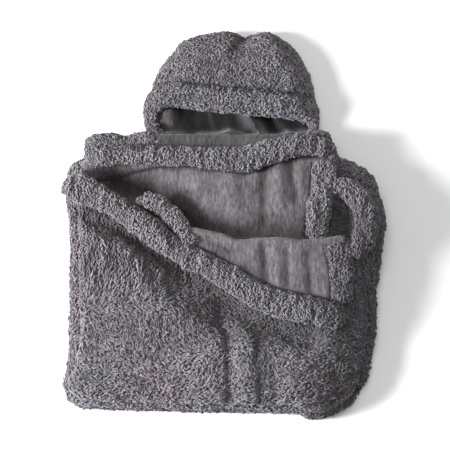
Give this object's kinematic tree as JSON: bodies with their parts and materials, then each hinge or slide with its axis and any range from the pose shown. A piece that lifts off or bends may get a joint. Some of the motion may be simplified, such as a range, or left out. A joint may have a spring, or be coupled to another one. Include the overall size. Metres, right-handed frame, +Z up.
{
  "type": "folded hooded bathrobe",
  "caption": "Thick grey fleece bathrobe with a hood, folded into a flat square bundle with one front panel turned back to show its brushed lining.",
  "frame": {"origin": "on the surface the bundle lies on, below the middle of its outline", "axes": "+X to the wearer's left, +Y from the folded skirt towards the crown of the hood, +Z up"},
  "size_m": [0.5018, 0.6165, 0.0857],
  "materials": {
    "curly_fleece": "long curly pile, matt",
    "turned_hem_fleece": "curly pile on a rolled hem, matt",
    "brushed_lining": "short brushed nap, matt",
    "woven_tape": "ribbed tape",
    "plain_label": "plain woven satin, no print"
  },
  "bodies": {
    "root": {"back_panel": "curly_fleece", "left_side_fold": "curly_fleece", "right_side_fold": "curly_fleece", "front_fold": "curly_fleece", "right_sleeve": "curly_fleece", "right_cuff": "turned_hem_fleece", "left_sleeve": "curly_fleece", "left_cuff": "turned_hem_fleece", "skirt_lower_ply": "curly_fleece", "skirt_upper_ply": "curly_fleece", "hanging_loop": "woven_tape", "care_label": "plain_label", "right_belt_loop": "woven_tape", "left_belt_loop": "woven_tape", "left_front_panel": "curly_fleece", "right_front_facing": "brushed_lining", "side_panel": "curly_fleece", "back_neck_panel": "curly_fleece", "neck_facing": "brushed_lining", "right_shoulder": "curly_fleece", "left_shoulder": "curly_fleece", "front_hem_side": "turned_hem_fleece", "neck_hem": "turned_hem_fleece", "facing_hem": "turned_hem_fleece", "inner_hem": "turned_hem_fleece", "side_hem": "turned_hem_fleece", "flap_tuck": "brushed_lining"},
    "front_flap": {"front_hem_corner": "turned_hem_fleece", "flap_facing": "brushed_lining", "flap_edge_hem": "turned_hem_fleece"},
    "hood": {"hood_right_panel": "curly_fleece", "hood_left_panel": "curly_fleece", "hood_lining": "brushed_lining", "hood_back_panel": "curly_fleece", "hood_back_lining": "brushed_lining", "hood_neck_panel": "brushed_lining", "hood_brim": "turned_hem_fleece"}
  },
  "joints": [
    {"name": "hood_hinge", "type": "hinge", "parent": "root", "child": "hood", "pos_m": [0.012, 0.138, 0.059], "axis": [1, 0, 0], "range_deg": [0, 100]},
    {"name": "flap_hinge", "type": "hinge", "parent": "root", "child": "front_flap", "pos_m": [0.06, -0.05, 0.087], "axis": [-1, 0, 0], "range_deg": [0, 120]}
  ]
}
